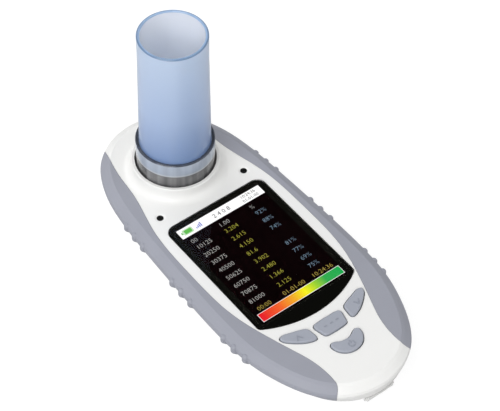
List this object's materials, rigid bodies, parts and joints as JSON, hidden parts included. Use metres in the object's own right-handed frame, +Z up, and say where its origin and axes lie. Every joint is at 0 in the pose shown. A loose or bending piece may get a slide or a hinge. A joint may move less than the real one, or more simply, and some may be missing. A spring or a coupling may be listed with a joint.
{
  "type": "handheld spirometer",
  "caption": "Handheld turbine spirometer with a display, keys, soft side grips and an upright mouthpiece on a twist-out turbine.",
  "frame": {"origin": "middle of the case's flat underside", "axes": "+Z up, square to the face; +Y from the keys towards the breathing tube; +X to the right as the keys face the user"},
  "size_m": [0.0744, 0.1688, 0.1018],
  "materials": {
    "white_plastic": "satin moulded white plastic",
    "soft_grip": "soft-touch overmoulded grip, blue-grey",
    "key_plastic": "satin grey",
    "window_glass": "clear cover glass over a black display",
    "display_black": "black display panel",
    "display_metal": "pressed metal tray",
    "adhesive": "black double-sided tape",
    "board": "green solder resist",
    "chip": "black epoxy",
    "radio": "tinned can on a carrier board",
    "flex": "amber film",
    "switch": "black switch body",
    "silicone": "translucent grey silicone",
    "steel": "plain steel",
    "port_plastic": "black tongue",
    "cover_plastic": "light grey soft plastic",
    "battery_wrap": "silver-grey pouch",
    "foam": "black foam",
    "socket_plastic": "black moulded plastic",
    "clear_plastic": "clear acrylic",
    "sensor_lens": "dark infrared epoxy",
    "black_screw": "blackened steel",
    "jewel": "synthetic jewel",
    "seal": "black rubber",
    "rotor_plastic": "dark opaque film",
    "mouthpiece_plastic": "translucent blue polypropylene"
  },
  "bodies": {
    "case": {"front_shell": "white_plastic", "rear_shell": "white_plastic", "left_grip": "soft_grip", "right_grip": "soft_grip", "window_gasket": "adhesive", "display_window": "window_glass", "display_panel": "display_black", "display_backlight": "display_metal", "display_flex": "flex", "main_board": "board", "board_chips": "chip", "radio_module": "radio", "key_switches": "switch", "keypad_mat": "silicone", "charging_port": "steel", "port_tongue": "port_plastic", "battery": "battery_wrap", "battery_pad": "foam", "battery_plug": "port_plastic", "turbine_socket": "socket_plastic", "sensor_board": "board", "infrared_emitters": "sensor_lens", "infrared_receivers": "sensor_lens", "face_screws": "black_screw", "case_screws": "steel"},
    "turbine": {"turbine_barrel": "clear_plastic", "inlet_swirler": "clear_plastic", "outlet_swirler": "clear_plastic", "inlet_bearing": "jewel", "outlet_bearing": "jewel", "turbine_seal": "seal", "retaining_ring": "clear_plastic"},
    "rotor": {"rotor_vane": "rotor_plastic", "rotor_shaft": "steel"},
    "mouthpiece": {"mouthpiece": "mouthpiece_plastic"},
    "left_key": {"left_key": "key_plastic"},
    "menu_key": {"menu_key": "key_plastic"},
    "right_key": {"right_key": "key_plastic"},
    "power_key": {"power_key": "key_plastic"},
    "port_cover": {"port_cover": "cover_plastic"}
  },
  "joints": [
    {"name": "turbine_twist", "type": "hinge", "parent": "case", "child": "turbine", "pos_m": [0, 0.0511, 0.0023], "axis": [0, 0, 1], "range_deg": [0, 40]},
    {"name": "rotor_spin", "type": "hinge", "parent": "turbine", "child": "rotor", "pos_m": [0, 0.0511, 0.0193], "axis": [0, 0, 1], "continuous": true},
    {"name": "mouthpiece_pull", "type": "slide", "parent": "turbine", "child": "mouthpiece", "axis": [0, 0, 1], "range_m": [0, 0.01]},
    {"name": "left_key_press", "type": "slide", "parent": "case", "child": "left_key", "axis": [0, 0, -1], "range_m": [0, 0.0005], "stiffness_N_per_m": 1500},
    {"name": "menu_key_press", "type": "slide", "parent": "case", "child": "menu_key", "axis": [0, 0, -1], "range_m": [0, 0.0005], "stiffness_N_per_m": 1500},
    {"name": "right_key_press", "type": "slide", "parent": "case", "child": "right_key", "axis": [0, 0, -1], "range_m": [0, 0.0005], "stiffness_N_per_m": 1500},
    {"name": "power_key_press", "type": "slide", "parent": "case", "child": "power_key", "axis": [0, 0, -1], "range_m": [0, 0.0005], "stiffness_N_per_m": 1500},
    {"name": "port_cover_hinge", "type": "hinge", "parent": "case", "child": "port_cover", "pos_m": [0, -0.08168, 0.01335], "axis": [1, 0, 0], "range_deg": [0, 100]}
  ]
}
